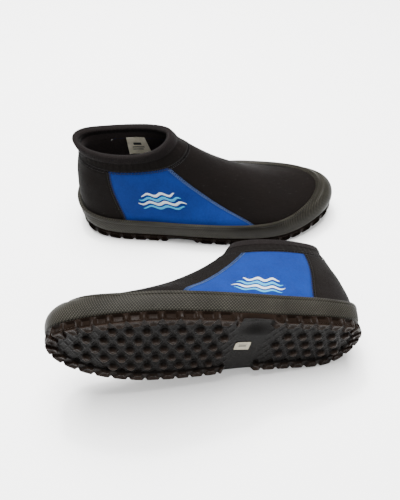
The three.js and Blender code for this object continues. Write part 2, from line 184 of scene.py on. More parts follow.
def row_at_height(u, z):
    u = np.asarray(u, float)
    high, low = np.full(u.shape, BAND), np.full(u.shape, float(ROWS))
    for _ in range(26):
        middle = (high + low) / 2
        above = face(u, middle)[..., 2] > z
        high, low = np.where(above, middle, high), np.where(above, low, middle)
    return (high + low) / 2


def front_seam(side):
    """The side panel's front edge: the two boots were cut a little differently at its lower end."""
    def edge(v):
        s = np.minimum(1, (v - BAND) / 3)
        return FRONT_SEAM - 0.28 + (0.21 + SEAM_CUT[side]) * s + 0.13 * np.sin(math.pi * s)
    return edge


def heel_seam(v):
    return HEEL_SEAM - 0.18 + 0.3 * ease((v - BAND) / 3)


def rand_top(side, u):
    low = RAND_TOP + RAND_LAID[side]
    return low + (RAND_TOE_TOP - low) * ease(1 - np.abs(u - TOE) / 1.8)


def rand_row(side, u):
    return row_at_height(u, rand_top(side, u))


def feather(u, out):
    """The line where the upper meets the sole, moved outwards in plan."""
    tangent = face(u + 0.01, ROWS) - face(u - 0.01, ROWS)
    outward = unit(np.stack([tangent[..., 1], -tangent[..., 0], 0 * tangent[..., 0]], -1))
    return face(u, ROWS) + outward * np.asarray(out, float)[..., None]


def bend(p):
    x = p[..., 0] / LENGTH
    shear = 0.12 * bump((x - 0.68) / 0.3)
    swing = -3.2 * bump((x - 0.02) / 0.42) - 2 * bump(x / 0.2) - 1.6 * ease((x - 0.7) / 0.3)
    lean = -SHAFT_LEAN * ease((p[..., 2] - LEAN_START) / (COLLAR_HEIGHT - LEAN_START))
    spring = TOE_SPRING * np.maximum(0, (p[..., 0] - TOE_SPRING_START) / (LENGTH - TOE_SPRING_START)) ** 2
    heel = HEEL_SPRING * np.maximum(0, 1 - p[..., 0] / HEEL_SPRING_END) ** 2
    return np.stack([p[..., 0] + shear * p[..., 1], p[..., 1] + swing + lean, p[..., 2] + spring + heel], -1)


# ---------------------------------------------------------------- from a boot's frame to the row frame
def boot_frame(side):
    hinge = next(j for j in frame["joints"] if j["name"] == f"{side}_forefoot_flex")
    bed = next(m for m in frame["record"]["mounts"] if m["name"] == f"{side}_footbed")
    up, axis = unit(bed["axis"]), unit(hinge["axis"])
    medial = axis if side == "left" else -axis
    return np.array(hinge["pos_m"], float), np.stack([np.cross(up, axis), medial, up])


FRAMES = {side: boot_frame(side) for side in SIDES}


def place(side, p):
    origin, axes = FRAMES[side]
    return origin + ((p - (FLEX_X, 0, FLEX_Z)) @ axes) * MM


# ---------------------------------------------------------------- mesh building
def steps_along(P, axis):
    """Running distance along a grid's axis, starting at 0."""
    d = np.linalg.norm(np.diff(P, axis=axis), axis=-1)
    zero = np.zeros_like(np.take(d, [0], axis=axis))
    return np.concatenate([zero, np.cumsum(d, axis=axis)], axis=axis)


def rings_round(path, tangent, up, radius, sides=6):
    """A ring of points round each point of a path."""
    a = unit(np.cross(tangent, up))
    b = np.cross(tangent, a)
    angle = np.linspace(0, 2 * math.pi, sides, endpoint=False)
    ring = np.cos(angle)[None, :, None] * a[:, None] + np.sin(angle)[None, :, None] * b[:, None]
    return path[:, None] + radius * ring


def patch(a0, a1, across, b0, b1, down):
    """A rectangle's two coordinates, as grids."""
    return np.meshgrid(np.linspace(a0, a1, across), np.linspace(b0, b1, down), indexing="ij")


def add_object(name, data):
    obj = bpy.data.objects.new(name, data)
    bpy.context.scene.collection.objects.link(obj)
    return obj


class Build:
    """Gathers grids of points into one mesh; points that coincide are merged at the end."""

    def __init__(self):
        self.points, self.faces, self.uvs, self.slots, self.count = [], [], [], [], 0

    def grid(self, P, s=None, w=None, close_n=False, close_m=False, slot=0):
        n, m = P.shape[:2]
        i = np.arange(n if close_n else n - 1)
        j = np.arange(m if close_m else m - 1)
        I, J = np.meshgrid(i, j, indexing="ij")
        I2, J2 = I + 1, J + 1
        corners = [(I, J), (I2, J), (I2, J2), (I, J2)]
        quads = np.stack([(a % n) * m + (b % m) for a, b in corners], -1).reshape(-1, 4)
        if s is None:
            s, w = (steps_along(self._wrap(P, close_n, close_m), k) for k in (0, 1))
        s, w = (np.broadcast_to(a, (n + close_n, m + close_m)) for a in (s, w))
        uv = np.stack([np.stack([s[a, b], w[a, b]], -1) for a, b in corners], 2).reshape(-1, 4, 2)
        self.points.append(P.reshape(-1, 3))
        self.faces.append(quads + self.count)
        self.uvs.append(uv * MM)
        self.slots.append(np.full(len(quads), slot))
        self.count += n * m
        return self

    @staticmethod
    def _wrap(P, close_n, close_m):
        if close_n:
            P = np.concatenate([P, P[:1]], 0)
        if close_m:
            P = np.concatenate([P, P[:, :1]], 1)
        return P

    def sheet(self, outer, inner, slot=0, inner_slot=None):
        """A closed sheet between two grids of the same size."""
        self.grid(outer, slot=slot)
        self.grid(inner, slot=slot if inner_slot is None else inner_slot)
        for a, b in ((outer[0], inner[0]), (outer[-1], inner[-1]), (outer[:, 0], inner[:, 0]),
                     (outer[:, -1], inner[:, -1])):
            self.grid(np.stack([a, b]), slot=slot)
        return self

    def tube(self, path, radius, up):
        """A round thread whose start closes to a point and whose end is left open."""
        rings = rings_round(path, unit(np.gradient(path, axis=0)), up, radius)
        start = np.repeat(path[:1, None], rings.shape[1], 1)
        return self.grid(np.concatenate([start, rings]), close_m=True)

    def make(self, name, side, materials, sharp=40):
        points = place(side, bend(np.concatenate(self.points)))
        faces = np.concatenate(self.faces)
        mesh = bpy.data.meshes.new(name)
        mesh.from_pydata(points.tolist(), [], faces.tolist())
        layer = mesh.uv_layers.new(name="Cloth")
        layer.data.foreach_set("uv", np.concatenate(self.uvs).astype(np.float32).ravel())
        mesh.polygons.foreach_set("material_index", np.concatenate(self.slots).astype(np.int32))
        for material in materials:
            mesh.materials.append(material)
        bm = bmesh.new()
        bm.from_mesh(mesh)
        bmesh.ops.remove_doubles(bm, verts=bm.verts, dist=2e-6)
        bmesh.ops.dissolve_degenerate(bm, edges=bm.edges, dist=1e-7)
        bmesh.ops.recalc_face_normals(bm, faces=bm.faces)
        bm.to_mesh(mesh)
        bm.free()
        mesh.polygons.foreach_set("use_smooth", np.ones(len(mesh.polygons), bool))
        mesh.set_sharp_from_angle(angle=math.radians(sharp))
        return add_object(name, mesh)


def join_body(obj, side, replaced=(), flexes=False):
    if flexes:
        start, end = (place(side, np.array((FLEX_X + d, 0, FLEX_Z))) for d in (-FLEX_REACH, FLEX_REACH))
        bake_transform(obj)
    else:
        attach(obj, f"{side}_boot")
    if replaced:
        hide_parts(*[f"{side}_{name}" for name in replaced])
    return obj


# ---------------------------------------------------------------- materials
def principled(name, **sockets):
    material = bpy.data.materials.new(name)
    material.use_nodes = True
    tree = material.node_tree
    shader = tree.nodes["Principled BSDF"]
    for key, value in sockets.items():
        shader.inputs[key.replace("_", " ").title().replace("Ior", "IOR")].default_value = value
    return material, tree, shader


def node(tree, kind, inputs=None, **settings):
    made = tree.nodes.new("ShaderNode" + kind)
    for key, value in settings.items():
        setattr(made, key, value)
    for key, value in (inputs or {}).items():
        if isinstance(value, bpy.types.NodeSocket):
            tree.links.new(value, made.inputs[key])
        else:
            made.inputs[key].default_value = value
    return made


def object_coordinates(tree):
    return node(tree, "TexCoord").outputs["Object"]


def cloth_coordinates(tree):
    return node(tree, "UVMap", uv_map="Cloth").outputs["UV"]


def math_node(tree, operation, a, b=0.0, c=0.0):
    made = node(tree, "Math", {0: a, 1: b, 2: c}, operation=operation)
    return made.outputs[0]


def noise(tree, coordinates, scale, detail=4.0, roughness=0.55):
    return node(tree, "TexNoise", {"Vector": coordinates, "Scale": scale, "Detail": detail,
                                   "Roughness": roughness}).outputs[0]


def ramp(tree, value, stops):
    """A colour that runs between two stops, each (position, colour)."""
    made = node(tree, "ValToRGB", {0: value})
    for element, (position, colour) in zip(made.color_ramp.elements, stops):
        element.position = position
        element.color = (*colour, 1)
    return made.outputs[0]


def mix(tree, factor, a, b, blend="MIX"):
    made = node(tree, "Mix", {0: factor, 6: a, 7: b}, data_type="RGBA", blend_type=blend)
    return made.outputs[2]


def scaled(tree, colour, factor):
    """A colour made darker or lighter by a plain factor."""
    grey = node(tree, "CombineColor", {0: factor, 1: factor, 2: factor}).outputs[0]
    return mix(tree, 1.0, colour, grey, "MULTIPLY")


def range_node(tree, value, low, high, to_low, to_high):
    return node(tree, "MapRange", {0: value, 1: low, 2: high, 3: to_low, 4: to_high}).outputs[0]


def bump_node(tree, height, distance, strength=1.0, below=None):
    inputs = {"Height": height, "Distance": distance, "Strength": strength}
    if below is not None:
        inputs["Normal"] = below
    return node(tree, "Bump", inputs).outputs[0]


def knit_height(tree, coordinates, pitch):
    """A fine jersey: wales up the cloth and courses across them, at a pitch in metres."""
    xyz = node(tree, "SeparateXYZ", {0: coordinates})
    turn = 2 * math.pi / pitch
    wale = math_node(tree, "SINE", math_node(tree, "MULTIPLY", xyz.outputs[0], turn))
    slant = math_node(tree, "MULTIPLY", math_node(tree, "ABSOLUTE", wale), 1.6)
    course = math_node(tree, "SINE", math_node(
        tree, "ADD", math_node(tree, "MULTIPLY", xyz.outputs[1], turn * 0.8), slant))
    return math_node(tree, "MULTIPLY_ADD", wale, 0.5, math_node(tree, "MULTIPLY", course, 0.5))


def knit_cloth(name, dark, light, pitch=0.0009, roughness=(0.75, 0.95), sheen=0.012,
               sheen_tint=(1, 1, 1), lint=0.0):
    material, tree, shader = principled(name, sheen_weight=sheen, sheen_roughness=0.45,
                                        sheen_tint=(*sheen_tint, 1), specular_ior_level=0.045)
    solid, cloth = object_coordinates(tree), cloth_coordinates(tree)
    knit = knit_height(tree, cloth, pitch)
    broad = noise(tree, solid, 38.0, 5.0, 0.6)
    fine = noise(tree, solid, 620.0, 3.0, 0.7)
    shade = math_node(tree, "MULTIPLY_ADD", fine, 0.45, math_node(tree, "MULTIPLY", broad, 0.55))
    colour = ramp(tree, shade, [(0.32, dark), (0.68, light)])
    colour = scaled(tree, colour, range_node(tree, knit, -1.0, 1.0, 0.78, 1.06))
    if lint:
        speck = ramp(tree, noise(tree, solid, 900.0, 2.0, 0.6), [(0.735, (0, 0, 0)), (0.76, (1, 1, 1))])
        colour = mix(tree, math_node(tree, "MULTIPLY", speck, lint), colour, (0.32, 0.31, 0.29, 1))
    tree.links.new(colour, shader.inputs["Base Color"])
    tree.links.new(range_node(tree, broad, 0.3, 0.7, *roughness), shader.inputs["Roughness"])
    low = bump_node(tree, broad, 0.0016, 0.35)
    mid = bump_node(tree, fine, 0.00035, 0.45, low)
    tree.links.new(bump_node(tree, knit, 0.00012, 0.55, mid), shader.inputs["Normal"])
    return material


def knurl_height(tree, pitch):
    """Crossed slanting ridges, 0 in the grooves to 1 on the points, as the rand's mesh has them."""
    xyz = node(tree, "SeparateXYZ", {0: cloth_coordinates(tree)})
    waves = []
    for way in ("ADD", "SUBTRACT"):
        slanted = math_node(tree, way, xyz.outputs[0], xyz.outputs[1])
        waves.append(math_node(tree, "SINE", math_node(tree, "MULTIPLY", slanted, math.pi / pitch)))
    return math_node(tree, "ABSOLUTE", math_node(tree, "MULTIPLY", *waves))


def rubber(name, dark, light, roughness, dust, dust_colour, grain=0.0002, shine=0.05,
           knurl=0.0, relief=0.0):
    """Moulded rubber, painted lighter as highlight where a knurl of a pitch or a tread of a height, in metres,
    stands proud, and darker as painted shade in the grooves and on the slab between.
    """
    material, tree, shader = principled(name, specular_ior_level=shine)
    solid = object_coordinates(tree)
    broad = noise(tree, solid, 45.0, 6.0, 0.6)
    fine = noise(tree, solid, 1400.0, 3.0, 0.6)
    colour = ramp(tree, broad, [(0.3, dark), (0.7, light)])
    hold = ramp(tree, noise(tree, solid, 120.0, 8.0, 0.7), [(0.48, (0, 0, 0)), (0.75, (1, 1, 1))])
    colour = mix(tree, math_node(tree, "MULTIPLY", hold, dust), colour, (*dust_colour, 1))
    if knurl:
        # painted shade in the knurl's grooves and painted highlight on its points
        colour = scaled(tree, colour, range_node(tree, knurl_height(tree, knurl), 0.05, 0.85, 0.12, 2.7))
    if relief:
        # painted shade on the slab between the lugs and painted highlight on the lug tops, from the tread's height
        lift = node(tree, "SeparateXYZ", {0: cloth_coordinates(tree)}).outputs[1]
        colour = scaled(tree, colour, range_node(tree, lift, 0.2 * relief, 0.9 * relief, 0.3, 3.0))
    tree.links.new(colour, shader.inputs["Base Color"])
    scuffed = math_node(tree, "MULTIPLY_ADD", fine, 0.3, math_node(tree, "MULTIPLY", broad, 0.7))
    tree.links.new(range_node(tree, scuffed, 0.3, 0.7, *roughness), shader.inputs["Roughness"])
    low = bump_node(tree, broad, 0.0008, 0.3)
    tree.links.new(bump_node(tree, fine, grain, 0.5, low), shader.inputs["Normal"])
    return material


def grained(name, grain, stops, roughness, relief, **sockets):
    """A plain surface whose colour, roughness and relief all follow one noise."""
    material, tree, shader = principled(name, **sockets)
    field = noise(tree, object_coordinates(tree), *grain)
    tree.links.new(ramp(tree, field, stops), shader.inputs["Base Color"])
    tree.links.new(range_node(tree, field, 0.3, 0.7, *roughness), shader.inputs["Roughness"])
    tree.links.new(bump_node(tree, field, *relief), shader.inputs["Normal"])
    return material


def thread(name, dark, light):
    return grained(name, (1500.0, 3.0, 0.6), [(0.3, dark), (0.7, light)], (0.55, 0.8), (0.00015, 0.6),
                   sheen_weight=0.03, sheen_roughness=0.4, specular_ior_level=0.12)


def print_ink(name, dark, light):
    return grained(name, (900.0, 5.0, 0.6), [(0.25, dark), (0.5, light)], (0.42, 0.62), (0.0001, 0.5),
                   specular_ior_level=0.15)


KNURL_PITCH = 2.2  # of the rand's mesh and of the highlight and shade painted into its colour
BLACK = knit_cloth("black_neoprene_jersey", (0.0016, 0.0011, 0.0009), (0.0036, 0.0027, 0.0023), lint=0.12)
BLUE = knit_cloth("blue_neoprene_jersey", (0.0026, 0.0125, 0.078), (0.0050, 0.0215, 0.124), sheen=0.01,
                  sheen_tint=(0.6, 0.8, 1))
LINING = knit_cloth("black_lining", (0.014, 0.011, 0.0105), (0.027, 0.0215, 0.021), pitch=0.0013,
                    roughness=(0.8, 1.0), sheen=0.03)
KNIT = knit_cloth("binding_knit", (0.0025, 0.0018, 0.0017), (0.006, 0.0045, 0.0044), pitch=0.0012,
                  sheen=0.03, lint=0.1)
# the outsole's colour has painted shade on the slab between the lugs and painted highlight on the lug tops
SOLE = rubber("outsole_rubber_moulded", (0.0020, 0.0012, 0.0008), (0.0044, 0.0028, 0.0020), (0.2, 0.34),
              dust=0.15, dust_colour=(0.010, 0.008, 0.006), shine=0.022, relief=LUG_HEIGHT * MM)
# the rand's colour has painted shade in the knurl's grooves and painted highlight on its points
RAND = rubber("rand_rubber_knurled", (0.0060, 0.0055, 0.0042), (0.0113, 0.0105, 0.0083), (0.42, 0.58),
              dust=0.2, dust_colour=(0.02, 0.019, 0.015), grain=0.00015, knurl=KNURL_PITCH * MM)
BOARD = knit_cloth("lasting_board_felt", (0.08, 0.07, 0.058), (0.13, 0.12, 0.1), pitch=0.0016,
                   roughness=(0.85, 1.0))
FOAM = knit_cloth("insole_cloth", (0.003, 0.003, 0.0033), (0.007, 0.007, 0.0075), pitch=0.0015,
                  roughness=(0.8, 0.95))
BLUE_THREAD = thread("blue_stitching", (0.012, 0.024, 0.07), (0.035, 0.06, 0.14))
BLACK_THREAD = thread("black_stitching", (0.004, 0.0035, 0.0035), (0.009, 0.008, 0.008))
WHITE_INK = print_ink("white_print", (0.22, 0.28, 0.33), (0.33, 0.36, 0.38))
CYAN_INK = print_ink("cyan_print", (0.008, 0.12, 0.24), (0.018, 0.18, 0.32))


# ---------------------------------------------------------------- upper panels
def clustered(n):
    """0 to 1 in n steps, four times as close at both ends as on average."""
    s = np.linspace(0, 1, n + 1)
    return 0.25 * s + 0.75 * (1 - np.cos(math.pi * s)) / 2


SEAM_DIP = 0.7  # how deep the cloth is drawn in at a stitched seam
SEAM_DIP_REACH = 1.7
SEAM_HALF_GAP = 0.06
QUARTER_SEED = {"lateral": 3.1, "medial": 4.4}


def soft_undulation(p, seed):
    """Slow unevenness of hand-lasted foam rubber, in mm, at design points p."""
    x, y, z = p[..., 0], p[..., 1], p[..., 2]
    slow = np.sin(x / 17 + 1.3 * seed) * np.sin(z / 13 + 0.7 * seed + y / 21)
    quick = np.sin(x / 7.3 + z / 9.1 + 2.1 * seed) * np.sin(z / 6.7 - y / 8.3 + seed)
    return 0.42 * slow + 0.14 * quick


def seam_shift(edge, mm):
    return lambda v: edge(v) + mm * stations_per_mm(edge(v), v)


def mirrored(edge):
    return lambda v: STATIONS - edge(v)


def panel(side, name, left, right, across, down, material, seams=(True, True), flexes=False, replaced=(),
          seed=0.0):
    v = BAND + BAND_GAP + (ROWS - BAND - BAND_GAP) * clustered(down)
    t = clustered(across)
    U = left(v)[None] + (right(v) - left(v))[None] * t[:, None]
    V = np.broadcast_to(v, U.shape)
    base = face(U, V)
    s = steps_along(base, 0)
    w = steps_along(base, 1)
    edge = np.full(U.shape, 99.0)
    for on, distance in ((seams[0], s), (seams[1], s[-1:] - s), (True, w)):
        if on:
            edge = np.minimum(edge, distance)
    away = ease(edge / 14)
    height = soft_undulation(base, seed + SIDE_SEED[side]) * away
    height = height - SEAM_DIP * np.exp(-(edge / SEAM_DIP_REACH) ** 2)
    outer = off_face(U, V, height)
    inner = off_face(U, V, -NEOPRENE + 0 * height)
    obj = Build().sheet(outer, inner, inner_slot=1).make(f"{side}_{name}", side, [material, LINING])
    return join_body(obj, side, replaced, flexes)


def upper(side):
    front_l, front_m = front_seam(side), mirrored(front_seam(side))
    heel_l, heel_m = heel_seam, mirrored(heel_seam)
    half = SEAM_HALF_GAP
    panel(side, "vamp", seam_shift(front_l, half), seam_shift(front_m, -half), 190, 120, BLACK, flexes=True,
          replaced=("vamp_instep", "vamp_crease", "vamp_toe"), seed=0.2)
    panel(side, "heel_counter", lambda v: seam_shift(heel_m, half)(v) - STATIONS, seam_shift(heel_l, -half),
          100, 80, BLACK, replaced=("heel_panel",), seed=1.9)
    panel(side, "quarter_lateral", seam_shift(heel_l, half), seam_shift(front_l, -half), 90, 90, BLUE,
          flexes=True, replaced=("side_panel_lateral",), seed=QUARTER_SEED["lateral"])
    panel(side, "quarter_medial", seam_shift(front_m, half), seam_shift(heel_m, -half), 90, 90, BLUE,
          flexes=True, replaced=("side_panel_medial",), seed=QUARTER_SEED["medial"])


# ---------------------------------------------------------------- collar
def run_round(row):
    """Closely spaced stations round the boot, and how far along a row each is from the heel."""
    fine = np.linspace(0, STATIONS, 2401)
    return fine, steps_along(face(fine, row), 0)


def ring_stations(pitch, row):
    """Stations round the boot, evenly spaced along a row."""
    fine, run = run_round(row)
    count = int(round(run[-1] / pitch))
    return np.interp(np.arange(count) * run[-1] / count, run, fine)


def spread(side, points, u, v):
    """The collar's points moved back at the heel, growing from the band's seam to the topline."""
    back = np.minimum(u % STATIONS, STATIONS - u % STATIONS)
    reach = COLLAR_SPREAD[side] * bump(back / 2.1) * np.clip(BAND - v, 0, 1) ** 1.2
    return points - reach[..., None] * np.array((1.0, 0.0, 0.25))


def collar_band(side):
    u = ring_stations(1.3, 0.5)
    v = (BAND - BAND_GAP) * clustered(22)
    U, V = np.meshgrid(u, v, indexing="ij")
    base = face(U, V)
    run = steps_along(base, 1)
    edge = run[:, -1:] - run
    pucker = 0.22 * np.sin(2 * math.pi * U * 5.5 + 1.3 * np.sin(U)) * ease(edge / 6)
    height = pucker + 0.6 * soft_undulation(base, 5.7) - SEAM_DIP * np.exp(-(edge / SEAM_DIP_REACH) ** 2)
    outer, inner = (spread(side, off_face(U, V, h), U, V) for h in (height, -NEOPRENE + 0.4 * pucker))
    build = Build().grid(outer, close_n=True).grid(inner, close_n=True, slot=1)
    for k in (0, -1):
        build.grid(np.stack([outer[:, k], inner[:, k]], 1), close_n=True)
    obj = build.make(f"{side}_collar", side, [BLACK, LINING])
    join_body(obj, side, ("collar_band",))


RIB_PITCH = 1.5
RIB_STEPS = 6
RIB_HEIGHT = 0.13
BINDING_PROUD = 1.0


def collar_binding(side):
    """Knitted tape folded over the topline, with its ribs running over the edge."""
    u = ring_stations(RIB_PITCH / RIB_STEPS, 0.0)
    wall = NEOPRENE
    outer_path = [(BINDING_DEPTH, 0.1, 0.0), (BINDING_DEPTH, 0.35, 0.0), (0.36, 0.62, 0.0), (0.28, 0.8, 0.0),
                  (0.2, 0.95, 0.0), (0.1, 1.05, 0.0), (0.03, 1.05, 0.0)]
    over = [(0.0, -wall / 2 + (wall / 2 + BINDING_PROUD) * math.cos(a), 1.9 * math.sin(a))
            for a in np.linspace(0.12, math.pi - 0.12, 15)]
    inner_path = [(r, -wall - h, z) for r, h, z in reversed(outer_path)]
    lining = [(BINDING_DEPTH, -wall - 0.3, 0.0), (0.2, -wall - 0.25, 0.0), (0.0, -wall - 0.2, 0.15),
              (0.0, 0.2, 0.15), (0.2, 0.25, 0.0), (BINDING_DEPTH, 0.3, 0.0)]
    section = outer_path + over + inner_path
    rise = unit(face(u, 0.0) - face(u, 0.05))
    rib = RIB_HEIGHT * np.sin(np.arange(len(u)) * 2 * math.pi / RIB_STEPS)
    rings = []
    for k, (row, height, lift) in enumerate(section + lining):
        on_top = k < len(section)
        fade = min(1, k / 3, (len(section) - 1 - k) / 3) if on_top else 0
        swell = rib * fade
        h = height + swell * np.sign(height + wall / 2) * (0.4 if abs(height + wall / 2) < 1 else 1)
        point = off_face(u, row + 0 * u, h) + rise * (lift + swell * (0.8 if lift > 0.6 else 0))[:, None]
        rings.append(spread(side, point, u, row + 0 * u))
    points = np.stack(rings, 1)
    obj = Build().grid(points, close_n=True, close_m=True).make(f"{side}_binding", side, [KNIT], 60)
    join_body(obj, side, ("collar_binding",))


# ---------------------------------------------------------------- stitching
STITCH_PITCH = 2.1
STITCH_REACH = 1.25  # each side of the seam
STITCH_LIE = 0.28 - SEAM_DIP * math.exp(-(STITCH_REACH / SEAM_DIP_REACH) ** 2)  # over the panel's face
THREAD_RADIUS = 0.2
LOOPER_REACH = STITCH_REACH + 0.15
LOOPER_RADIUS = 0.8 * THREAD_RADIUS


def zigzag(count):
    return np.where(np.arange(count) % 2, 1.0, -1.0)


def looper_height(count):
    """The height over the panel's face of the threads that run along both edges of a seam."""
    return 0.05 + 0.18 * (np.arange(count) % 2)


def stitch_path(edge, v):
    """Zigzag points over the seam line edge(v)."""
    u = edge(v) + zigzag(len(v)) * STITCH_REACH * stations_per_mm(edge(v), v)
    return off_face(u, v, STITCH_LIE + 0 * v)


def dense(path, per=3):
    """The same zigzag with points between its turns."""
    pieces = [path[:-1] + (path[1:] - path[:-1]) * k / per for k in range(per)]
    out = np.stack(pieces, 1).reshape(-1, 3)
    return np.concatenate([out, path[-1:]])


def upright_stitching(side, name, edge, material, replaced, flexes):
    low = edge(4.0)
    start = BAND + 1.2 * rows_per_mm(edge(BAND), BAND)
    end = float(rand_row(side, np.array([low]))[0])
    fine = np.linspace(start, end, 400)
    run = steps_along(face(edge(fine), fine), 0)
    count = int(run[-1] / STITCH_PITCH * 2)
    v = np.interp(np.linspace(0, run[-1], count), run, fine)
    normal = face_normal(edge(np.array([2.5])), np.array([2.5]))[0]
    build = Build()
    build.tube(dense(stitch_path(edge, v)), THREAD_RADIUS, normal)
    for sign in (-1, 1):
        u = edge(v) + sign * LOOPER_REACH * stations_per_mm(edge(v), v)
        build.tube(off_face(u, v, looper_height(count)), LOOPER_RADIUS, normal)
    obj = build.make(f"{side}_{name}", side, [material], 60)
    join_body(obj, side, (replaced,), flexes)


def collar_stitching(side):
    count = len(ring_stations(STITCH_PITCH / 2, BAND)) // 2 * 2
    u = np.linspace(0, STATIONS, count, endpoint=False)
    per_mm = rows_per_mm(u, BAND)
    threads = [(zigzag(count) * STITCH_REACH, STITCH_LIE + 0 * u, THREAD_RADIUS),
               (-LOOPER_REACH, looper_height(count), LOOPER_RADIUS),
               (LOOPER_REACH, looper_height(count), LOOPER_RADIUS)]
    build = Build()
    for offset, height, radius in threads:
        path = off_face(u, BAND + offset * per_mm, height)
        tangent = unit(np.roll(path, -1, 0) - np.roll(path, 1, 0))
        rings = rings_round(path, tangent, face_normal(u, BAND + 0 * u), radius)
        build.grid(rings, close_n=True, close_m=True)
    obj = build.make(f"{side}_collar_stitch", side, [BLACK_THREAD], 60)
    join_body(obj, side, ("collar_seam",))


# ---------------------------------------------------------------- rand
KNURL_DEPTH = 0.5
RAND_ROW = 5.0  # its stations are evenly spaced along this row
RAND_LIP = 3.0
RAND_LIP_PROUD = 0.75


def rand_strip(side):
    u = ring_stations(0.45, RAND_ROW)
    top = rand_row(side, u)
    t = np.linspace(0, 1, 56)
    V = top[:, None] + (ROWS - top)[:, None] * t[None]
    U = np.broadcast_to(u[:, None], V.shape)
    base = face(U, V)
    w = steps_along(base, 1)
    total = w[:, -1:]
    repeats = round(run_round(RAND_ROW)[1][-1] / KNURL_PITCH)
    s = np.arange(len(u) + 1)[:, None] / len(u) * repeats * KNURL_PITCH
    cloth = s, np.concatenate([w, w[:1]])
    s = s[:-1]
    toe = ease(1.6 - np.abs(U - TOE) / 0.62)
    lip = ease(w / 0.7) * (1 - ease((w - RAND_LIP + 0.4) / 0.8))
    second = toe * ease((w - 6.5) / 1.2)
    knurl = np.abs(np.sin(math.pi * (s + w) / KNURL_PITCH) * np.sin(math.pi * (s - w) / KNURL_PITCH))
    field = ease((w - RAND_LIP - 0.3) / 0.6) * ease((total - w - 1.6) / 0.6) * (1 - ease(toe * 1.2))
    groove = 1 - ease((total - w) / 1.5)
    height = (CEMENT + 0.5 + (RAND_THICKNESS - 0.6) * ease(w / 0.5) + RAND_LIP_PROUD * lip
              + KNURL_DEPTH * knurl * field + 1.0 * second - 1.2 * groove)
    outer = off_face(U, V, height)
    inner = off_face(U, V, 0.25 + 0 * height)
    for grid in (outer, inner):
        grid[:, -1, 2] = FEATHER_Z - 0.1
    build = Build().grid(outer, *cloth, close_n=True).grid(inner, close_n=True)
    for k in (0, -1):
        build.grid(np.stack([outer[:, k], inner[:, k]], 1), close_n=True)
    obj = build.make(f"{side}_rand", side, [RAND], 50)
    join_body(obj, side, ("rand_rear", "rand_toe"), True)


# ---------------------------------------------------------------- outsole
EDGE_LUG_DEPTH = 8.0
LUG_RADIUS = 4.7
LUG_CLEAR = 2.2  # from an inner lug's centre to the edge blocks
TREAD_RIB = 0.4
TREAD_INSET = 0.7  # of the tread's edge between two edge blocks
BLOCK_PROUD = 0.9
BLOCK_WIDTH = 10.4
WINDOW_DEPTH = 1.5
RIM_PROUD = 0.55
SCOOP_X = 98.0
SCOOP_DEPTH = 1.2
BOWL_DEPTH = 3.0


def box_wave(s, width, soft):
    """1 over a block of the given width at every lug, falling to 0 over the soft distance."""
    away = np.abs((s / LUG_PITCH + 0.5) % 1 - 0.5) * LUG_PITCH
    return 1 - ease((away - width / 2 + soft / 2) / soft)


def half_outline():
    fine = np.linspace(0, 6, 4001)
    run = steps_along(feather(fine, SOLE_LEDGE + 0 * fine), 0)
    count = int(round(run[-1] / 0.75))
    at = np.linspace(0, run[-1], count + 1)
    return np.interp(at, run, fine), at


def lug_places(outline):
    places = []
    for row in range(-4, 5):
        for column in range(0, int(LENGTH / LUG_PITCH) + 1):
            x, y = (column + (0.5 if row % 2 else 0.0)) * LUG_PITCH, row * LUG_PITCH
            inside = abs(y) < np.interp(x, outline[:, 0], -outline[:, 1])
            far = np.min(np.hypot(outline[:, 0] - x, -outline[:, 1] - abs(y)))
            if inside and far > EDGE_LUG_DEPTH + LUG_CLEAR and not WAIST[0] - 3 < x < WAIST[1] + 3:
                places.append((x, y))
    return np.array(places)


def tread_relief(x, y, s, edge, places):
    """How far the tread stands down from the slab at (x, y), in mm."""
    relief = np.zeros_like(x)
    for cx, cy in places:
        near = (np.abs(x - cx) < 8) & (np.abs(y - cy) < 8)
        dx, dy = np.abs(x[near] - cx), np.abs(y[near] - cy)
        hexagon = np.maximum(dy, dy * 0.5 + dx * 0.866)
        rounded = 0.55 * np.hypot(dx, dy) + 0.45 * hexagon
        lug = LUG_HEIGHT * (1 - ease((rounded - LUG_RADIUS + 3.1) / 3.4))
        dish = 0.3 * bump(np.hypot(dx, dy) / 2.2)
        relief[near] = np.maximum(relief[near], lug - dish)
    inner = ease((edge - EDGE_LUG_DEPTH) / 1.5)
    for way in (-1, 1):
        away = np.abs((x / (LUG_PITCH / 2) + way * y / LUG_PITCH + 0.5) % 1 - 0.5) * (LUG_PITCH / 2)
        relief = np.maximum(relief, TREAD_RIB * (1 - ease((away - 0.35) / 0.7)) * inner)
    rim = 1 - ease((edge - EDGE_LUG_DEPTH + 1.0) / 1.6)
    blocks = LUG_HEIGHT * (0.4 + 0.6 * box_wave(s, BLOCK_WIDTH, 2.2)) * rim
    pit = 0.8 * box_wave(s, 4.4, 2.0) * bump((edge - EDGE_LUG_DEPTH * 0.48) / 3.4)
    relief = np.maximum(relief, blocks - pit * (blocks > 1))
    waist = ease((x - WAIST[0]) / 3) * ease((WAIST[1] - x) / 3)
    return relief * (1 - waist)


def nearest_edge(X, Y, ring, s):
    """How far each tread point is from the tread's outline, and the outline's run at the nearest point."""
    away, run = np.empty_like(X), np.empty_like(X)
    for k in range(len(X)):
        d = np.hypot(X[k][:, None] - ring[None, :, 0], np.abs(Y[k])[:, None] - ring[None, :, 1])
        n = d.argmin(1)
        away[k], run[k] = d[np.arange(len(n)), n], s[n]
    return away, run


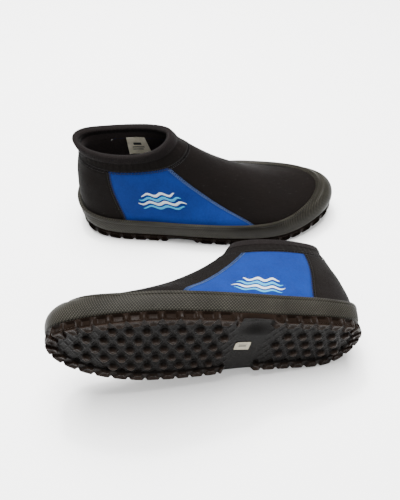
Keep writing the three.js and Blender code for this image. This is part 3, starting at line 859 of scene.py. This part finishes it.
def side_wall(u, s, edge_out, waist, scoop, foot, mirror):
    """Rows of one side wall, from the tread's edge at heights foot up to the groove under the rand."""
    rows = []
    for h in np.linspace(0, 1, 15):
        belly = 0.4 * math.sin(math.pi * min(1, h * 1.1)) - 0.8 * ease((h - 0.82) / 0.18)
        out = edge_out + (SOLE_LEDGE - 0.2 - edge_out) * ease(h / 0.35) + belly
        window = box_wave(s, 8.2, 1.6) * ease((h - 0.16) / 0.14) * ease((0.86 - h) / 0.14)
        rim = box_wave(s, 10.6, 1.4) * ease((h - 0.04) / 0.1) * ease((0.96 - h) / 0.1) - window
        out = out + (RIM_PROUD * np.maximum(rim, 0) - WINDOW_DEPTH * window) * (1 - waist)
        p = feather(u, out - SCOOP_DEPTH * scoop * ease((0.8 - h) / 0.6))
        rows.append(np.stack([p[:, 0], mirror * p[:, 1], foot + (SLAB_TOP - foot) * h], -1))
    return rows


def outsole(side):
    u, s = half_outline()
    rest = feather(u, SOLE_LEDGE + 0 * u)
    waist = ease((rest[:, 0] - WAIST[0] + 2) / 4) * ease((WAIST[1] + 2 - rest[:, 0]) / 4)
    edge_out = SOLE_LEDGE - TREAD_INSET + BLOCK_PROUD * box_wave(s, BLOCK_WIDTH, 3.4) * (1 - waist)
    rim = feather(u, edge_out) * (1, -1, 1)
    half = rim[:, 1]
    t = np.linspace(-1, 1, 141)
    X = np.broadcast_to(rim[:, :1], (len(u), len(t)))
    Y = half[:, None] * t[None]
    edge, nearest = nearest_edge(X, Y, rim[:, :2], s)
    relief = tread_relief(X, Y, nearest, edge, lug_places(rest))
    bowl = bump((X - SCOOP_X) / 17) * bump((half[:, None] - Y - 8.5) / 13.5)
    Z = LUG_HEIGHT - relief + BOWL_DEPTH * bowl
    bottom = np.stack([X, Y, Z], -1)

    scoop = bump((rest[:, 0] - SCOOP_X) / 19)
    medial = side_wall(u, s, edge_out, waist, scoop, Z[:, -1], -1)
    lateral = side_wall(u, s, edge_out, waist, 0, Z[:, 0], 1)
    inset = [feather(u, np.full(len(u), out)) for out in (1.0, -5.0)]
    cap = [np.stack([p[:, 0], mirror * p[:, 1], np.full(len(u), SLAB_TOP)], -1)
           for mirror, lines in ((-1, inset), (1, inset[::-1])) for p in lines]
    rings = [bottom[:, k] for k in range(len(t))] + medial[1:] + cap + lateral[:0:-1]
    skin = np.stack(rings, 1)
    # the tread's height, carried in the cloth map, paints highlight on the lug tops and shade on the slab; the
    # side walls get half the lug height
    lift = np.full((len(u), len(rings) + 1), 0.5 * LUG_HEIGHT)
    lift[:, :len(t)] = relief
    lift[:, -1] = relief[:, 0]
    along = np.broadcast_to(s[:, None], lift.shape)
    obj = Build().grid(skin, along, lift, close_m=True).make(f"{side}_outsole", side, [SOLE], 50)
    join_body(obj, side, ("outsole_rear", "outsole_toe"), True)


# ---------------------------------------------------------------- footbed
FOOTBED_INSET = -NEOPRENE - 1.2
FOOTBED_DOME = 1.2


def footbed(side):
    u = np.linspace(0.1, 5.9, 120)
    edge = feather(u, np.full(len(u), FOOTBED_INSET))
    t = np.linspace(-1, 1, 41)

    def layer(width, heights):
        """Lines along the foot at each t, at a share of the full width."""
        return np.stack([np.stack([edge[:, 0], -edge[:, 1] * k * width, z + 0 * u], -1)
                         for k, z in zip(t, heights)], 1)

    dome = FOOTBED_DOME * (1 - np.abs(t) ** 6)
    top = layer(0.995, INSOLE_Z + INSOLE_THICKNESS - FOOTBED_DOME + dome)
    low = layer(0.97, INSOLE_Z + 0 * t)
    obj = Build().sheet(top, low).make(f"{side}_footbed", side, [FOAM])
    join_body(obj, side, ("insole_rear", "insole_toe"), True)


# ---------------------------------------------------------------- emblem, label, sticker
EMBLEM_LONG = 43.0
WAVE_HEIGHT = 1.4
WAVE_LENGTH = 14.0
WAVE_LINES = [  # rise, half width, ink and share of the length
    (7.2, 1.4, 0, 0.8), (2.4, 1.6, 1, 0.94), (-2.4, 1.6, 0, 1.0), (-7.2, 1.4, 1, 0.84)]


def emblem(side, which):
    """Four plain wave lines printed on a side panel."""
    at_u = np.array([EMBLEM_STATION[side]])
    at_v = row_at_height(at_u, EMBLEM_HEIGHT[side])
    per_mm, row_mm = stations_per_mm(at_u, at_v), rows_per_mm(at_u, at_v)
    b = np.linspace(-1, 1, 7)
    crown = 0.28 * (1 - np.abs(b) ** 4)
    build = Build()
    for rise, width, ink, share in WAVE_LINES:
        length = EMBLEM_LONG * share
        a = np.linspace(-0.5, 0.5, 90)[:, None] * length
        wave = WAVE_HEIGHT * np.sin(2 * math.pi * a / WAVE_LENGTH)
        taper = np.sqrt(np.clip(1 - (2 * a / length) ** 2, 0.004, 1))
        A, B = np.broadcast_arrays(a, rise + wave + b * width * taper)
        U, V = at_u + A * per_mm, at_v - B * row_mm
        if which == "medial":
            U = STATIONS - U
        away = soft_undulation(face(U, V), QUARTER_SEED[which] + SIDE_SEED[side])
        build.sheet(off_face(U, V, away + 0.12 + crown), off_face(U, V, away - 0.1), ink)
    obj = build.make(f"{side}_waves_{which}", side, [WHITE_INK, CYAN_INK])
    join_body(obj, side, (f"emblem_{which}",))


def label_material():
    material, tree, shader = principled("woven_label_cloth", sheen_weight=0.03, specular_ior_level=0.1)
    cloth, solid = cloth_coordinates(tree), object_coordinates(tree)
    knit = knit_height(tree, cloth, 0.0007)
    stain = noise(tree, solid, 160.0, 5.0, 0.6)
    tree.links.new(ramp(tree, stain, [(0.3, (0.50, 0.47, 0.37)), (0.7, (0.68, 0.64, 0.53))]),
                   shader.inputs["Base Color"])
    tree.links.new(range_node(tree, stain, 0.3, 0.7, 0.75, 0.95), shader.inputs["Roughness"])
    tree.links.new(bump_node(tree, knit, 0.00015, 0.6), shader.inputs["Normal"])
    return material


LABEL_CLOTH = label_material()
LABEL_INK = print_ink("label_print", (0.012, 0.012, 0.013), (0.024, 0.024, 0.024))
LABEL = {"from": 2.28, "to": 2.86, "top": 0.9, "bottom": 2.0}  # stations and rows
LABEL_BARS = [(0.30, 0.68, 0.36, 0.50), (0.22, 0.78, 0.60, 0.645), (0.22, 0.7, 0.72, 0.76)]


def label_face(across, fall, depth):
    """Points of the label, which hangs from its top edge and curls away from the lining."""
    curl = 0.9 * fall ** 2 * (0.4 + 2 * (across - 0.3) ** 2)
    u = LABEL["from"] + across * (LABEL["to"] - LABEL["from"])
    v = LABEL["top"] + fall * (LABEL["bottom"] - LABEL["top"])
    return off_face(u, v, -NEOPRENE - depth - curl)


def size_label(side):
    across, fall = patch(0, 1, 41, 0, 1, 41)
    build = Build().sheet(label_face(across, fall, 0.35), label_face(across, fall, 0.7))
    for a0, a1, f0, f1 in LABEL_BARS:
        across, fall = patch(a0, a1, 12, f0, f1, 5)
        build.sheet(label_face(across, fall, 0.78), label_face(across, fall, 0.65), 1)
    obj = build.make(f"{side}_label", side, [LABEL_CLOTH, LABEL_INK])
    join_body(obj, side, ("size_label",))


PAPER = grained("sticker_paper", (500.0, 6.0, 0.65),
                [(0.3, (0.19, 0.175, 0.125)), (0.7, (0.27, 0.25, 0.19))], (0.5, 0.75), (0.0001, 0.5),
                specular_ior_level=0.15)
STICKER = {"x": 102.0, "long": 12.0, "wide": 11.0}
STICKER_BARS = [(-0.5, 0.5, -0.15, 0.15), (-0.55, 0.55, 0.42, 0.5)]


def sticker_face(a, b, below):
    """Points of the sticker below the slab; two opposite corners have come a little loose."""
    corner = 1 - 0.05 * (np.abs(a) ** 8) * (np.abs(b) ** 8)
    loose = 0.35 * np.clip(a * b, 0, 1) ** 3
    return np.stack([STICKER["x"] + a * corner * STICKER["long"] / 2, b * corner * STICKER["wide"] / 2,
                     LUG_HEIGHT - below - loose], -1)


def sticker(side):
    a, b = patch(-1, 1, 25, -1, 1, 25)
    build = Build().sheet(sticker_face(a, b, 0.32), sticker_face(a, b, 0.12))
    for a0, a1, b0, b1 in STICKER_BARS:
        a, b = patch(a0, a1, 8, b0, b1, 4)
        build.sheet(sticker_face(a, b, 0.37), sticker_face(a, b, 0.3), 1)
    obj = build.make(f"{side}_sticker", side, [PAPER, LABEL_INK])
    join_body(obj, side, ("sole_sticker",))


# ---------------------------------------------------------------- the boots
for side in SIDES:
    upper(side)
    collar_band(side)
    collar_binding(side)
    for name, mirror_it in (("lateral", lambda e: e), ("medial", mirrored)):
        upright_stitching(side, f"front_stitch_{name}", mirror_it(front_seam(side)), BLUE_THREAD,
                          f"front_seam_{name}", True)
        upright_stitching(side, f"heel_stitch_{name}", mirror_it(heel_seam), BLACK_THREAD,
                          f"heel_seam_{name}", False)
        emblem(side, name)
    collar_stitching(side)
    rand_strip(side)
    outsole(side)
    footbed(side)
    size_label(side)
    sticker(side)
    for part in ("rear", "toe"):
        board = frame["nodes"][f"{side}_lasting_board_{part}"]
        board.data.materials.clear()
        board.data.materials.append(BOARD)

# ---------------------------------------------------------------- floor, light and camera
FLOOR_REACH = 3.0
WORLD_COLOUR = (1.0, 0.995, 0.985, 1)
WORLD_STRENGTH = 0.95
LIGHTS = [  # name, place, aim, size and power
    ("key", (-0.1, 0.25, 1.3), (0, 0, 0), 1.0, 92),
    ("fill", (0.6, -1.0, 0.9), (0, 0, 0.03), 1.0, 8),
    ("spark", (-0.15, 0.35, 1.1), (0, -0.05, 0.03), 0.1, 9),
]
CAMERA_PLACE = (0.0029, -0.3262, 0.453)
CAMERA_DOWN = 52.9  # degrees below the horizon
CAMERA_LENS = 42.912  # on a 36 mm sensor
CAMERA_SHIFT = (-0.018, 0.018)


def floor():
    mesh = bpy.data.meshes.new("floor")
    corners = [(-1, -1), (1, -1), (1, 1), (-1, 1)]
    mesh.from_pydata([(x * FLOOR_REACH, y * FLOOR_REACH, 0) for x, y in corners], [], [(0, 1, 2, 3)])
    material, _, shader = principled("pale_floor", roughness=0.9, specular_ior_level=0.1)
    shader.inputs["Base Color"].default_value = (0.93, 0.93, 0.925, 1)
    mesh.materials.append(material)
    obj = add_object("floor", mesh)


def studio_world():
    world = bpy.data.worlds.new("studio")
    bpy.context.scene.world = world
    world.use_nodes = True
    background = world.node_tree.nodes["Background"]
    background.inputs["Color"].default_value = WORLD_COLOUR
    background.inputs["Strength"].default_value = WORLD_STRENGTH


def area_light(name, place_at, aim, size, power):
    light = bpy.data.lights.new(name, "AREA")
    light.shape = "DISK"
    light.size, light.energy = size, power
    obj = add_object(name, light)
    obj.location = place_at
    obj.rotation_euler = (Vector(aim) - Vector(place_at)).to_track_quat("-Z", "Y").to_euler()


def photo_camera():
    camera = bpy.data.cameras.new("camera")
    camera.sensor_width = 36.0
    camera.sensor_fit = "AUTO"
    camera.lens = CAMERA_LENS
    camera.shift_x, camera.shift_y = CAMERA_SHIFT
    camera.dof.use_dof = False
    eye = add_object("camera", camera)
    eye.location = CAMERA_PLACE
    eye.rotation_euler = (math.radians(90 - CAMERA_DOWN), 0, 0)
    bpy.context.scene.camera = eye


floor()
studio_world()
for light in LIGHTS:
    area_light(*light)
photo_camera()
